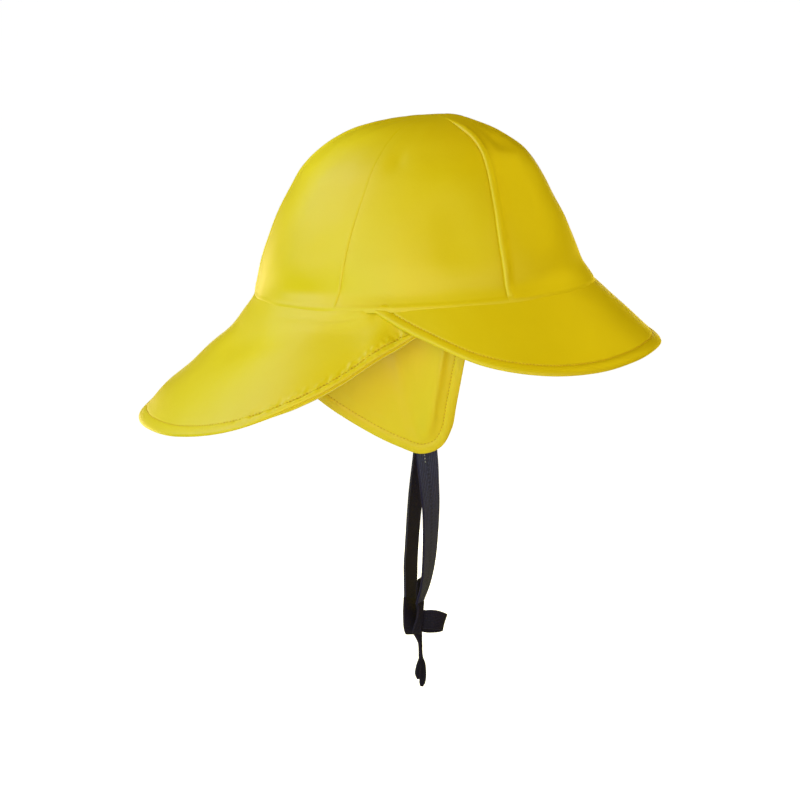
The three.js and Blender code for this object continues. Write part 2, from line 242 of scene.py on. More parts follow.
# Name, azimuth, distance, height, power and colour
LIGHTS = [
    ("low_front", 20, 0.9, -0.25, 2.4, (0.5, 0.45, 1)),
    ("front", -10, 0.9, 0.2, 3.7, (1, 0.74, 0.45)),
    ("front_right", 50, 0.9, 0.15, 1.15, (1, 0.97, 0.5)),
    ("key_left", -70, 0.7, 0.5, 2.1, (1, 0.69, 0.79)),
    ("high_left", -100, 0.7, 0.5, 2.1, (0.48, 0.7, 1)),
    ("fill_left", -40, 0.9, 0.15, 2.2, (0.23, 1, 0.88)),
    ("side_right", 110, 0.7, 0.5, 3.1, (1, 0.86, 0.02)),
    ("back_right", 150, 0.9, -0.25, 2.4, (1, 0.76, 0.05)),
    ("back_left", -135, 0.7, 0.5, 1.8, (1, 1, 0.05)),
    ("low_left", -135, 0.9, -0.25, 4.8, (1, 0.76, 0.38)),
    ("top", 0, 0.05, 0.9, 0.55, (1, 0.6, 0.15)),
    ("far_side", 180, 0.9, -0.2, 2, (1, 0.95, 0.7)),
]


def table(columns, rows):
    """A short table as one array for each named column."""
    values = np.array(rows, float)
    return {name: values[:, i] for i, name in enumerate(columns.split())}


# Crown, from the lower edge to the apex: shares of CROWN_HEIGHT and of the opening's reach, and seam angles
CROWN = table("height back side front front_seam back_seam", [
    (0.0, 0.997, 1.0, 1.0, 61.5, 121),
    (0.06, 0.986, 0.982, 0.972, 61.5, 120.5),
    (0.14, 0.967, 0.957, 0.938, 61.5, 120),
    (0.26, 0.932, 0.918, 0.892, 61.4, 119.5),
    (0.38, 0.89, 0.873, 0.842, 61, 119),
    (0.5, 0.839, 0.822, 0.778, 60.2, 118),
    (0.62, 0.776, 0.762, 0.715, 59.5, 117),
    (0.72, 0.72, 0.7, 0.652, 58.7, 116.5),
    (0.81, 0.639, 0.618, 0.565, 57.8, 116.2),
    (0.89, 0.535, 0.51, 0.424, 58.2, 116.5),
    (0.95, 0.41, 0.375, 0.262, 61.6, 118),
    (0.985, 0.245, 0.22, 0.13, 64.5, 120),
    (1.0, 0.0, 0.0, 0.0, 66, 120),
])
CROWN_LAST = len(CROWN["height"]) - 1

# Brims, a row each 15 degrees from the front: reach along the cloth and slopes below the opening's plane
BRIM_STEP = 15
PEAK = table("reach near far", [
    (51.4, 45.2, 45.6), (51.4, 44.2, 45.4), (52.6, 42.5, 46.8), (53, 42.5, 47.8),
    (49.6, 43, 47.5), (39.9, 44, 47), (22.1, 47, 47), (4.8, 52, 52),
])
NECK_FIRST = 75
NECK = table("reach near far", [
    (3.5, 58, 58), (13, 56, 54), (30.5, 53, 50), (58.2, 50, 44),
    (81.3, 50, 42), (90.3, 50, 42), (92, 50, 42), (92, 50, 42),
])

# Ear flap, from back to front: the angle of the top on the opening, and the lower edge
FLAP = table("angle x z", [
    (150, -80, -16), (141, -76, -29), (132, -69, -40), (122, -58.5, -50.6), (112, -45, -60.6),
    (103, -31, -69.8), (95, -18, -76.8), (87, -6.2, -81.5), (80.5, 4.5, -78.6), (75.5, 10.8, -69),
])
# Its top ends at this angle, and a band along its edge keeps its distance from the edge
FLAP_TOP_LAST = 82
FLAP_BAND = 10
FLAP_FRONT_EASE = 4.4
FLAP_RISE_START = 105
FLAP_RISE = 12
# Shares of the front edge that get a point, and the height where the folds have their own x
FRONT_SHARES = (0.2, 0.45, 0.7, 0.97)
FOLD_Z = -60
FLAP_TOP_POINTS = 80
FLAP_FOLDS = table("x slant half depth", [
    (1, 0.2, 5.5, -2.1), (-10, -0.2, 5, 1.1), (14, 0, 4, 0.6), (-26, 0.35, 9, 0.9), (-42, 0.3, 9, -0.8),
])

# Soft folds and dents: place, half widths, and how far the cloth sinks there, or rises if negative
FOLDS = "angle share half_angle half_share depth"
FOLD_KEYS = ("angle", "half_angle", "share", "half_share")
NECK_FOLDS = table(FOLDS, [
    (157, 0.28, 13, 0.14, 2.8),
    (183, 0.24, 16, 0.1, 1.3),
    (116, 0.3, 9, 0.22, 0.9),
    (137, 0.55, 15, 0.3, -1.2),
    (99, 0.66, 3.5, 0.3, 1.5),
    (137, 0.09, 9, 0.025, 0.5),
    (119, 0.13, 8, 0.03, 0.5),
    (106, 0.6, 4, 0.28, -0.8),
    (178, 0.79, 24, 0.15, -1.5),
])
PEAK_FOLDS = table(FOLDS, [
    (25, 0.5, 16, 0.3, -0.3),
    (62, 0.35, 10, 0.3, 0.8),
    (84, 0.5, 6, 0.4, -0.5),
])
DENT_KEYS = ("angle", "half_angle", "height", "half_height")
CROWN_DENTS = table("angle height half_angle half_height depth", [
    (79, 0.4, 8, 0.2, 1.3),
    (84, 0.17, 14, 0.09, -0.4),
    (100, 0.3, 7, 0.2, -0.4),
    (104.5, 0.8, 4, 0.05, 0.9),
    (88, 0.84, 14, 0.05, 0.5),
    (33, 0.86, 10, 0.05, 1.3),
    (20, 0.6, 10, 0.2, -0.4),
    (44, 0.5, 8, 0.3, 0.5),
    (148, 0.45, 10, 0.25, -0.4),
    (130, 0.35, 5, 0.25, 0.5),
    (136, 0.075, 11, 0.03, 0.6),
    (165, 0.8, 8, 0.1, 0.5),
])
# How far the cloth lies inside the frame's solids: heights and depths
CROWN_EASE = [(0, 0), (0.15, 0.2), (0.5, 0.6), (0.75, 0.8), (0.9, 1.2), (1, 1.5)]

# Sections, in mm: distance in from the rim and height over the sheet, round the edge to the under face
PEAK_HEM = [
    (9.5, 0), (7.8, 0), (7, -0.12), (6.5, -0.3), (6, -0.12), (5, 0.4), (3.6, 0.78), (2, 0.88), (0.7, 0.55),
    (0, -0.05), (0, -0.9), (0.7, -1.45), (2.4, -1.6), (4.6, -1.6), (6, -1.5), (8, -1.5),
]
NECK_HEM = [
    (9.5, 0), (7.9, 0), (7.1, -0.06), (6.7, -0.16), (6.3, -0.06), (5, 0.2), (3.2, 0.38), (1.6, 0.4),
    (0.5, 0.15), (0, -0.3), (0, -0.8), (0.5, -1.35), (2.2, -1.55), (4.4, -1.5), (6, -1.5), (8, -1.5),
]
# Where the neck flap runs in under the peak, its facing rolls out below its edge
NECK_FACING = [
    (9.5, 0.1), (7.2, 0.15), (6.1, -0.05), (5.6, -0.25), (5.1, -0.05), (4, 0.75), (2.7, 1.0), (1.4, 0.75),
    (0.5, 0), (1.1, -0.8), (0.8, -1.2), (-0.2, -1.25), (-0.6, -1.8), (0.4, -2.5), (4.6, -1.8), (8, -1.5),
]
FLAP_HEM = [
    (9.5, 0), (7, 0), (6, -0.08), (5.5, -0.2), (5.1, -0.05), (4.2, 0.4), (2.9, 0.6), (1.5, 0.5), (0.5, 0.15),
    (0, -0.3), (0, -0.85), (0.5, -1.3), (2.2, -1.5), (4.4, -1.5), (6, -1.5), (8, -1.5),
]
# Crown's foot: height over the opening's plane and relief, a welded fold with a shallow waist over it
CROWN_FOOT = [
    (-3.2, 0.45), (-1.7, 0.5), (-1.1, 0.56), (-0.5, 0.54), (0, 0.42), (0.5, 0.18), (1, -0.12), (1.6, -0.36),
    (2.6, -0.6), (4.5, -0.95), (7, -1.15), (9.5, -0.95), (13, -0.4), (17, -0.05), (22, 0.08), (28, 0),
]
# The foot is plainer at the front and back centres than at the sides
FOOT_AT_FRONT = 0.4
FOOT_AT_BACK = 0.35
# The front panels are flatter than the opening's curve, with a crease at their side seams
FRONT_FLATTEN = 1.6
FLATTEN_REACH = 13
FLATTEN_IN = 12
FLATTEN_OUT = 16
# Panel edges: distance from the seam and relief, on the raised side, on the side tucked under and at the back
SEAM_LIP = [
    (0, -0.4), (0.12, 0.05), (0.45, 0.65), (0.9, 1.05), (1.5, 1.25), (2.3, 1.22), (3.1, 0.95), (4, 0.5),
    (5, 0.1), (6, -0.02), (9, 0),
]
SEAM_THIN = [(0, -0.45), (0.12, -0.15), (0.35, 0.08), (0.8, 0.2), (1.5, 0.18), (2.4, 0.06), (5, 0), (9, 0)]
SEAM_FINE = [(0, -0.12), (0.2, -0.04), (0.5, 0.03), (1, 0.1), (1.8, 0.1), (3, 0.03), (5, 0), (9, 0)]
SEAM_SUNK = [(0, -0.14), (0.3, -0.1), (0.8, -0.06), (1.6, -0.03), (3.2, 0), (6, 0), (9, 0)]
SEAM_TUCK = [(0, -0.5), (0.3, -0.32), (0.8, -0.2), (1.6, -0.1), (3.2, -0.03), (6, 0), (9, 0)]
SEAM_REAR = [(0, -0.5), (0.3, -0.15), (1, 0.2), (2.2, 0.5), (3.2, 0.4), (4.4, 0), (5.8, -0.15), (9, 0)]
# The relief fades out over the foot and under the apex, and the side seams at the back show most low down
RELIEF_SPARE = 1
FOOT_FADE = 4
APEX_FADE = 7
BACK_SEAM_LOW = 2.2
BACK_SEAM_HIGH = 0.5
BACK_SEAM_FROM = 0.3
BACK_SEAM_OVER = 0.4
FOOT_SIDE_SPAN = 50
# Low down the relief stands out level, and the inner face follows only dents, and with a share
LEVEL_HEIGHT = 14
SINK_SHARE = 0.4
SINK_CLEAR = 0.9
# The crown's grid: heights of its rows at the foot, rows over them, and stations beside a seam
FOOT_HEIGHTS = np.array([
    -3.2, -2.4, -1.7, -1.2, -0.8, -0.4, -0.1, 0.2, 0.5, 0.9, 1.3, 1.8, 2.5, 3.4, 4.6, 6.2, 8.5, 11.5, 15, 19,
])
FOOT_FIRST_PLACE = -0.7
PLACE_STEPS = 900
UPPER_ROWS = 84
APEX_ROWS_LEFT = 0.012
SEAM_STATIONS = np.array([0, 0.05, 0.12, 0.22, 0.35, 0.55, 0.8, 1.1, 1.4, 1.75, 2.1, 2.5, 3, 3.8, 5, 7, 9])
PANEL_MIDDLE = 26
SEAM_FADE = 26
SEAM_GAP = 0.03
SEAM_GAP_SHARE = 1 / 8

# Strap runs: centre line, turn of the webbing's width from +X, and width as a share of STRAP_WIDTH
RUN = "x y z turn width"
RIGHT_STRAND = table(RUN, [
    (-0.5, -61, -67, 0, 1), (0.4, -59.1, -74, 0, 1), (1.2, -56.3, -82, 0, 1), (2.6, -49.5, -99.5, 27, 1),
    (3.7, -39.5, -117, 43, 1), (3.2, -24, -143, 54, 1), (1.5, -11, -161.5, 59, 0.85),
    (-1.9, -4.4, -174.5, 55, 0.6),
])
LEFT_STRAND = table(RUN, [
    (-0.5, 61, -67, 0, 1), (0.2, 59.1, -74, 0, 1), (0.8, 56.3, -82, 0, 1), (0.4, 49, -99.5, 25, 1),
    (-3.9, 35, -124.5, 50, 1), (-6.3, 19, -151, 56, 1), (-6.9, 9, -164.5, 57, 1), (-7.1, 3.8, -175, 58, 0.98),
])


def clamp01(value):
    return np.clip(value, 0, 1)


def smooth(value):
    value = clamp01(value)
    return value * value * (3 - 2 * value)


def spline(values, place):
    """Smooth values between the rows of a column, at places counted in rows."""
    place = np.asarray(place, float)
    last = len(values) - 1
    first = np.clip(np.floor(place).astype(int), 0, last - 1)
    part = place - first
    padded = np.concatenate([[2 * values[0] - values[1]], values, [2 * values[-1] - values[-2]]])
    p0, p1, p2, p3 = (padded[first + i] for i in range(4))
    cube = 3 * (p1 - p2) + p3 - p0
    square = 2 * p0 - 5 * p1 + 4 * p2 - p3
    return 0.5 * (2 * p1 + part * ((p2 - p0) + part * (square + part * cube)))


def smooth_path(points, steps):
    """A section's points, rounded, with the given steps between two of them."""
    values = np.array(points, float)
    place = np.linspace(0, len(values) - 1, (len(values) - 1) * steps + 1)
    return np.stack([spline(values[:, i], place) for i in range(values.shape[1])], -1)


def profile(points, at):
    """The height of a profile at a distance, rounded between its points."""
    fine = smooth_path(points, PROFILE_STEPS)
    return np.interp(at, fine[:, 0], fine[:, 1])


def bumps(folds, keys, across, along):
    """How far the cloth sinks from all the folds of a table."""
    place, half_place, share, half_share = keys
    depth = 0
    for i in range(len(folds["depth"])):
        a = (across - folds[place][i]) / folds[half_place][i]
        b = (along - folds[share][i]) / folds[half_share][i]
        depth = depth + folds["depth"][i] * np.exp(-a * a - b * b)
    return depth


def waves(a, b, size, seed):
    """Gentle unevenness from -1 to 1 of about the given size over two coordinates in mm."""
    phase = np.random.default_rng(seed).uniform(0, 2 * math.pi, (WAVES, 2))
    total = 0
    for i in range(WAVES):
        turn = WAVE_TURN * i + seed
        rate = 2 * math.pi / size * (WAVE_RATE + WAVE_RATE_STEP * i)
        along = np.sin((a * math.cos(turn) + b * math.sin(turn)) * rate + phase[i, 0])
        total = total + along * np.cos((a + b) * rate * WAVE_CROSS + phase[i, 1])
    return total / WAVE_SUM


def tilted(points):
    """From the hat's own plane to the frame: the opening is tilted, front edge up."""
    turn = math.radians(OPENING_TILT)
    cos, sin = math.cos(turn), math.sin(turn)
    x, y, z = points[..., 0], points[..., 1], points[..., 2]
    return np.stack([x * cos - z * sin, y, x * sin + z * cos], -1)


def run_length(points):
    """The length along a run of points, from 0 at its start."""
    return np.concatenate([[0], np.cumsum(np.linalg.norm(np.diff(points, axis=0), axis=1))])


def opening_point(angle):
    x = OPENING_LENGTH / 2 * np.cos(angle)
    y = OPENING_WIDTH / 2 * np.sin(angle)
    return np.stack([x, y, np.zeros_like(x)], -1)


def opening_normal(angle):
    x = np.cos(angle) / OPENING_LENGTH
    y = np.sin(angle) / OPENING_WIDTH
    length = np.hypot(x, y)
    return np.stack([x / length, y / length, np.zeros_like(x)], -1)


def crown_point(angle, place):
    forward = np.cos(angle)
    end = np.where(forward > 0, spline(CROWN["front"], place), spline(CROWN["back"], place))
    side = spline(CROWN["side"], place)
    reach = side + (end - side) * forward ** 2
    axis = np.array([APEX_FORWARD, 0, 0])
    point = (opening_point(angle) - axis) * reach[..., None] + axis
    point[..., 2] = spline(CROWN["height"], place) * CROWN_HEIGHT
    return point


def unit(vectors):
    return vectors / np.maximum(np.linalg.norm(vectors, axis=-1, keepdims=True), 1e-12)


def grid_normals(points):
    """Normals of a grid of points, from its own differences."""
    across = np.gradient(points, axis=1)
    up = np.gradient(points, axis=0)
    return unit(np.cross(across, up))


def make_object(name, points, faces, material, uv=None, inside=None, inside_faces=None):
    """A smooth mesh object in metres from points in mm, riding on the root, faces turned outwards."""
    points = np.asarray(points, float) * MM
    triangles = [(f[0], f[i], f[i + 1]) for f in faces for i in range(1, len(f) - 1)]
    a, b, c = (points[[t[i] for t in triangles]] for i in range(3))
    inverted = np.einsum("ij,ij->", a, np.cross(b, c)) < 0
    if inverted:
        faces = [tuple(reversed(f)) for f in faces]
    mesh = bpy.data.meshes.new(name)
    mesh.from_pydata(points.tolist(), [], faces)
    mesh.materials.append(material)
    if inside is not None:
        mesh.materials.append(inside)
        marks = np.zeros(len(faces), int)
        marks[inside_faces] = 1
        mesh.polygons.foreach_set("material_index", marks)
    if uv is not None:
        layer = mesh.uv_layers.new(name="weave")
        corners = np.empty(len(mesh.loops), int)
        mesh.loops.foreach_get("vertex_index", corners)
        layer.data.foreach_set("uv", np.asarray(uv, float)[corners].ravel())
    mesh.polygons.foreach_set("use_smooth", [True] * len(mesh.polygons))
    mesh.update()
    piece = bpy.data.objects.new(name, mesh)
    bpy.context.collection.objects.link(piece)
    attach(piece, "root")
    return piece


def cloth_piece(node, points, faces, inside):
    """A solid's sewn cloth: coated outside, with the cloth's back on the inner faces."""
    look = {"inside": CLOTH_BACK, "inside_faces": inside}
    piece = make_object(f"cloth_{node}", tilted(points.reshape(-1, 3)), faces, CLOTH_FACE, **look)
    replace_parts(piece, node)
    return piece


def loop_faces(columns, stations):
    """Faces of a tube of columns, each a closed loop of stations, with its two ends filled."""
    faces = []
    for i in range(columns - 1):
        for j in range(stations):
            k = (j + 1) % stations
            a, b = i * stations, (i + 1) * stations
            faces.append((a + j, a + k, b + k, b + j))
    faces.append(tuple(reversed(range(stations))))
    faces.append(tuple(range((columns - 1) * stations, columns * stations)))
    return faces


# Materials

def new_material(name):
    material = bpy.data.materials.new(name)
    material.use_nodes = True
    return material, material.node_tree, material.node_tree.nodes["Principled BSDF"]


def feed(tree, node, feeds):
    """Links a node's inputs to sockets, or sets them to values."""
    for key, value in feeds.items():
        if isinstance(value, bpy.types.NodeSocket):
            tree.links.new(value, node.inputs[key])
        else:
            node.inputs[key].default_value = value


def add_node(tree, kind, output, feeds, **settings):
    """The output of a new node, from its inputs and settings."""
    node = tree.nodes.new("ShaderNode" + kind)
    for key, value in settings.items():
        setattr(node, key, value)
    feed(tree, node, feeds)
    return node.outputs[output]


def noise(tree, place, scale, detail):
    return add_node(tree, "TexNoise", "Fac", {"Vector": place, "Scale": scale, "Detail": detail})


def wave(tree, place, scale, direction):
    return add_node(tree, "TexWave", "Fac", {"Vector": place, "Scale": scale}, bands_direction=direction)


def maths(tree, operation, *values):
    return add_node(tree, "Math", 0, dict(enumerate(values)), operation=operation)


def map_value(tree, value, low, high):
    return add_node(tree, "MapRange", "Result", {"Value": value, "To Min": low, "To Max": high})


def bump(tree, height, strength, depth, before=None):
    feeds = {"Height": height, "Strength": strength, "Distance": depth}
    if before is not None:
        feeds["Normal"] = before
    return add_node(tree, "Bump", "Normal", feeds)


def ramp(tree, value, places, deep, bright):
    """From a deep colour to a bright one, as a value goes from one place to another."""
    node = tree.nodes.new("ShaderNodeValToRGB")
    ends = node.color_ramp.elements
    ends[0].position, ends[0].color = places[0], (*deep, 1)
    ends[1].position, ends[1].color = places[1], (*bright, 1)
    feed(tree, node, {"Fac": value})
    return node.outputs["Color"]


def coated_cloth():
    """Yellow coated cloth: satin, with a fine grain and slightly uneven tone and gloss."""
    material, tree, shader = new_material("coated_cloth_yellow")
    place = add_node(tree, "TexCoord", "Object", {})
    grain = bump(tree, noise(tree, place, *GRAIN), *GRAIN_BUMP)
    feed(tree, shader, {
        "Base Color": ramp(tree, noise(tree, place, *CLOTH_TONE), TONE_STOPS, YELLOW_DEEP, YELLOW_BRIGHT),
        "Roughness": map_value(tree, noise(tree, place, *CLOTH_GLOSS), *CLOTH_ROUGHNESS),
        "Normal": bump(tree, noise(tree, place, *PEBBLE), *PEBBLE_BUMP, grain),
        "Specular IOR Level": CLOTH_SPECULAR,
    })
    return material


def cloth_back():
    """The cloth's knitted back, paler and matt."""
    material, tree, shader = new_material("coated_cloth_back")
    place = add_node(tree, "TexCoord", "Object", {})
    cells = add_node(tree, "TexVoronoi", "Distance", {"Vector": place, "Scale": BACK_CELLS})
    feed(tree, shader, {
        "Base Color": ramp(tree, noise(tree, place, *BACK_TONE), TONE_STOPS, BACK_DEEP, BACK_BRIGHT),
        "Roughness": MATT_ROUGHNESS,
        "Normal": bump(tree, cells, *BACK_BUMP),
    })
    return material


def thread(name, deep, bright):
    """Sewing thread, with a fine twist."""
    material, tree, shader = new_material(name)
    place = add_node(tree, "TexCoord", "Object", {})
    colour = ramp(tree, noise(tree, place, *TWIST), TONE_STOPS, deep, bright)
    feed(tree, shader, {"Base Color": colour, "Roughness": THREAD_ROUGHNESS})
    return material


def dot_column(tree, weave):
    """DOT_STRENGTH on small rings set one over another up the webbing's middle, and 0 elsewhere."""
    split = tree.nodes.new("ShaderNodeSeparateXYZ")
    feed(tree, split, {0: weave})
    across = maths(tree, "DIVIDE", split.outputs["X"], DOT_RADIUS)
    turns = maths(tree, "DIVIDE", split.outputs["Y"], DOT_PITCH)
    part = maths(tree, "SUBTRACT", maths(tree, "FRACT", turns), 0.5)
    along = maths(tree, "MULTIPLY", part, DOT_PITCH / DOT_RADIUS)
    squares = [maths(tree, "MULTIPLY", v, v) for v in (across, along)]
    radius = maths(tree, "SQRT", maths(tree, "ADD", *squares))
    off_ring = maths(tree, "ABSOLUTE", maths(tree, "SUBTRACT", radius, DOT_RING))
    return maths(tree, "MULTIPLY", maths(tree, "LESS_THAN", off_ring, DOT_HALF_LINE), DOT_STRENGTH)


def elastic(name, deep, bright, specular, dotted):
    """Black elastic webbing: lengthwise ribs, cross threads and, if dotted, small rings up its middle."""
    material, tree, shader = new_material(name)
    weave = add_node(tree, "UVMap", "UV", {}, uv_map="weave")
    ribs = wave(tree, weave, RIB_SCALE, "X")
    picks = wave(tree, weave, PICK_SCALE, "Y")
    fuzz = noise(tree, weave, *FUZZ)
    mixed = maths(tree, "MULTIPLY_ADD", fuzz, FUZZ_SHARE, maths(tree, "MULTIPLY", ribs, picks))
    colour = ramp(tree, mixed, WEAVE_STOPS, deep, bright)
    if dotted:
        stain = {"Factor": dot_column(tree, weave), 6: colour, 7: (*BLACK_DEEP, 1)}
        colour = add_node(tree, "Mix", 2, stain, data_type="RGBA")
    woven = bump(tree, picks, *PICK_BUMP, bump(tree, ribs, *RIB_BUMP))
    feed(tree, shader, {
        "Base Color": colour,
        "Roughness": MATT_ROUGHNESS,
        "Specular IOR Level": specular,
        "Normal": bump(tree, fuzz, *FUZZ_BUMP, woven),
    })
    return material


CLOTH_FACE = coated_cloth()
CLOTH_BACK = cloth_back()
THREAD = thread("thread_yellow", THREAD_DEEP, THREAD_BRIGHT)
TACK_THREAD = thread("thread_grey", GREY_DEEP, GREY_BRIGHT)
ELASTIC = elastic("elastic_black", BLACK_DEEP, BLACK_BRIGHT, OUTER_SPECULAR, True)
# A darker copy of the webbing for its back faces: painted shade
ELASTIC_INNER_SHADED = elastic("elastic_black_inner_painted_shade", INNER_SHADE_DEEP, INNER_SHADE_BRIGHT, INNER_SPECULAR, False)
# Another darker copy of the webbing for the knot, bow loop and tail: painted shade
ELASTIC_KNOT_SHADED = elastic("elastic_black_knot_painted_shade", KNOT_SHADE_DEEP, KNOT_SHADE_BRIGHT, INNER_SPECULAR, False)


# Crown

def crown_row_places():
    """Grid rows as places in the crown's table: close together at the foot, even above it."""
    even = np.linspace(FOOT_FIRST_PLACE, CROWN_LAST, PLACE_STEPS)
    foot = np.interp(FOOT_HEIGHTS / CROWN_HEIGHT, spline(CROWN["height"], even), even)
    return np.concatenate([foot, np.linspace(foot[-1], CROWN_LAST - APEX_ROWS_LEFT, UPPER_ROWS)[1:]])


def crown_panel(node, first, second, first_edge, second_edge, mirror):
    """A gore between two seams, each edge with its own relief."""
    places = crown_row_places()
    seams = {"centre": 0 * places, "front": spline(CROWN["front_seam"], places),
             "back": spline(CROWN["back_seam"], places), "rear": 0 * places + 180}
    start = np.radians(seams[first])[:, None]
    end = np.radians(seams[second])[:, None]
    middle = crown_point((start + end) / 2, places[:, None])
    radius = np.hypot(middle[..., 0] - APEX_FORWARD, middle[..., 1])
    width = np.abs(end - start) * radius
    scale = np.minimum(1, width / SEAM_FADE)
    stations = SEAM_STATIONS[None, :] * scale
    inner = np.linspace(0, 1, PANEL_MIDDLE)[None, 1:-1]
    edge = SEAM_STATIONS[-1] * scale
    across = np.concatenate([stations, edge + (width - 2 * edge) * inner, width - stations[:, ::-1]], 1)
    angle = start + (end - start) * across / width
    gap = (SEAM_GAP * scale / radius) * (1 - smooth(across / width / SEAM_GAP_SHARE))
    angle = angle + np.where(across < width / 2, 1, -1) * gap
    place = np.broadcast_to(places[:, None], angle.shape)
    face = crown_point(angle, place)
    normals = grid_normals(face)
    height = face[..., 2]
    from_first = across / scale
    from_second = (width - across) / scale
    high = smooth((height / CROWN_HEIGHT - BACK_SEAM_FROM) / BACK_SEAM_OVER)
    shown = BACK_SEAM_LOW + (BACK_SEAM_HIGH - BACK_SEAM_LOW) * high
    first_share = shown if first == "back" else 1
    second_share = shown if second == "back" else 1
    relief = profile(first_edge, from_first) * first_share + profile(second_edge, from_second) * second_share
    over_foot = smooth((height + RELIEF_SPARE) / FOOT_FADE)
    relief = relief * scale * over_foot * smooth((CROWN_HEIGHT + RELIEF_SPARE - height) / APEX_FADE)
    degrees = np.degrees(angle)
    beside = smooth((90 - np.abs(degrees - 90)) / FOOT_SIDE_SPAN)
    centre = np.where(degrees < 90, FOOT_AT_FRONT, FOOT_AT_BACK)
    relief = relief + profile(CROWN_FOOT, height) * (centre + (1 - centre) * beside)
    if second == "front":
        level = smooth(height / FLATTEN_IN) * smooth((CROWN_HEIGHT - height) / FLATTEN_OUT)
        relief = relief - FRONT_FLATTEN * level * (1 - np.exp(-(width - across) / FLATTEN_REACH))
    relief = relief - bumps(CROWN_DENTS, DENT_KEYS, degrees, height / CROWN_HEIGHT) * scale
    relief = relief - profile(CROWN_EASE, height / CROWN_HEIGHT)
    rise, size, seed = CROWN_UNEVEN
    seed += MIRRORED_SEED if mirror else 0
    relief = relief + rise * scale * waves(degrees * CROWN_STRETCH, height, size, seed)
    level = clamp01(height / LEVEL_HEIGHT)[..., None]
    flat = unit(normals * np.concatenate([np.ones_like(level), np.ones_like(level), level], -1))
    outer = face + flat * relief[..., None]
    sunk = np.minimum(np.minimum(relief * SINK_SHARE, 0), relief + SINK_CLEAR)
    inner_face = face + flat * (sunk - CLOTH)[..., None]
    inner_face[..., 2] = np.maximum(inner_face[..., 2], 0)
    both = np.concatenate([outer.reshape(-1, 3), inner_face.reshape(-1, 3)])
    if mirror:
        both = both * (1, -1, 1)
    cloth_piece(node, both, *shell_faces(*angle.shape))


def shell_faces(rows, columns):
    """Faces of a closed shell from two grids, the outer one first, and the places of its inner faces."""
    count = rows * columns
    faces = []
    inside = []
    for r in range(rows - 1):
        for c in range(columns - 1):
            a = r * columns + c
            b, d, e = a + 1, a + columns, a + columns + 1
            faces.append((a, b, e, d))
            inside.append(len(faces))
            faces.append((count + d, count + e, count + b, count + a))
    for c in range(columns - 1):
        top = (rows - 1) * columns + c
        faces.append((c + 1, c, count + c, count + c + 1))
        faces.append((top, top + 1, count + top + 1, count + top))
    for r in range(rows - 1):
        left = r * columns
        right = left + columns - 1
        faces.append((left, left + columns, count + left + columns, count + left))
        faces.append((right + columns, right, count + right, count + right + columns))
    return faces, inside


# Brims

def neck_inset(degrees, distance):
    """How far the neck flap lies below the peak's level, before it comes up behind the peak's end."""
    out = smooth((distance - NECK_RISE_CLEAR) / NECK_RISE_REACH)
    rise = NECK_RISE + (NECK_RISE_OUT - NECK_RISE) * out
    share = NECK_ROOT_SHARE + (1 - NECK_ROOT_SHARE) * out
    return (CLOTH + GAP) * share * (1 - smooth((degrees - PEAK_END) / rise))


def fillet(distance):
    """A brim sweeps up into the crown's foot."""
    return FILLET_RISE * np.exp(-distance / FILLET_REACH)


def brim_point(degrees, rows, place, distance, inset):
    """A brim's outer face at a distance from the crown along the cloth, and inset below it."""
    angle = np.radians(degrees)
    outward = opening_normal(angle)
    point = opening_point(angle) - outward * BRIM_TUCK
    point[..., 2] -= GAP
    near, far, reach = (spline(rows[key], place) for key in ("near", "far", "reach"))
    distance = np.where(distance < 0, distance * ROOT_SQUEEZE, distance)
    for i in range(BRIM_STEPS):
        along = (i + 0.5) / BRIM_STEPS * distance
        slope = np.radians(near + (far - near) * clamp01(along / reach / NEAR_SLOPE_SHARE))
        point = point + outward * (np.cos(slope) * distance / BRIM_STEPS)[..., None]
        point[..., 2] -= np.sin(slope) * distance / BRIM_STEPS
    point = point - outward * (inset * np.sin(slope))[..., None]
    point[..., 2] -= inset * np.cos(slope)
    return point


def loft_rim(across, surface, reach, hem, body_rows, relief, outward, narrowing=RIM_NARROWING):
    """A sheet with a worked rim: hem holds the sections round its edge, surface(across, in) is its face."""
    edge_in, edge_up = hem[..., 0], hem[..., 1]
    scale = np.clip(reach / narrowing, LEAST_RIM, 1)[:, None]
    shares = np.linspace(1, 0, body_rows + 1)[:-1][None, :]
    full = np.maximum(reach[:, None], edge_in[:, :1] * scale + HEM_ROOT)
    outer = edge_in[:, :1] * scale + (full - edge_in[:, :1] * scale) * shares
    under = edge_in[:, -1:] * scale + (full - edge_in[:, -1:] * scale) * shares[:, ::-1][:, ::2]
    inwards = np.concatenate([outer, edge_in * scale, under], 1)
    height = np.concatenate([0 * outer, edge_up * np.sqrt(scale), 0 * under - CLOTH], 1)
    turned = outer.shape[1] + int(np.argmax(edge_up[0] < -CLOTH * UNDER_FACE))
    places = np.broadcast_to(across[:, None], inwards.shape)
    point, normal = on_surface(surface, places, inwards, outward)
    height = height + relief(places, inwards, reach[:, None])
    points = point + normal * height[..., None]
    columns, stations = inwards.shape
    faces = loop_faces(columns, stations)
    inside = [i * stations + j for i in range(columns - 1) for j in range(turned, stations - 1)]
    return points, faces, inside


def on_surface(surface, across, inwards, outward):
    """Points of a surface and its normals, on the side told by outward."""
    along = surface(across, inwards - SLOPE_STEP) - surface(across, inwards + SLOPE_STEP)
    side = surface(across + SLOPE_STEP, inwards) - surface(across - SLOPE_STEP, inwards)
    return surface(across, inwards), unit(np.cross(side, along)) * outward


def flap_root(degrees, distance):
    """How far the neck flap comes up round the crown's foot beside the peak's end."""
    beside = smooth((degrees - PEAK_END + ROOT_BEFORE) / ROOT_RISE)
    beside = beside * (1 - smooth((degrees - ROOT_END) / ROOT_FALL))
    return ROOT_LIFT * beside * (distance / ROOT_REACH) * np.exp(1 - np.maximum(distance, 0) / ROOT_REACH)


def even_hem(section, columns):
    """The same rounded section at every column of a rim."""
    rounded = smooth_path(section, HEM_STEPS)
    return np.broadcast_to(rounded, (columns, *rounded.shape))


